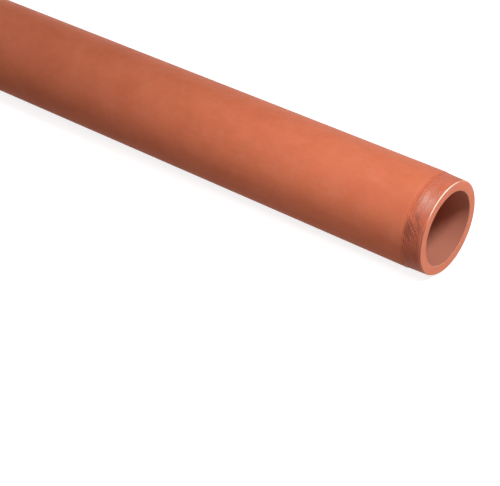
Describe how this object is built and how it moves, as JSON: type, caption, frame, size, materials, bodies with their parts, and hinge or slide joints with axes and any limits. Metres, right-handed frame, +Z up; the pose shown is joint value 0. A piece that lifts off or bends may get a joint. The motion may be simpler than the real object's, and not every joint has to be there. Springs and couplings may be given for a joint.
{
  "type": "polypropylene threaded pipe",
  "caption": "Straight length of thick-walled brick-orange polypropylene pressure pipe, nominal size 4 in., with a right-hand taper thread cut on each end.",
  "frame": {"origin": "on the ground under the pipe's axis, midway between its two ends", "axes": "+X along the pipe's axis, +Z up; the pipe lies along X on the plane z = 0"},
  "size_m": [3, 0.114, 0.1143],
  "materials": {
    "polypropylene": "satin"
  },
  "bodies": {
    "root": {"threaded_pipe": "polypropylene"}
  },
  "joints": []
}
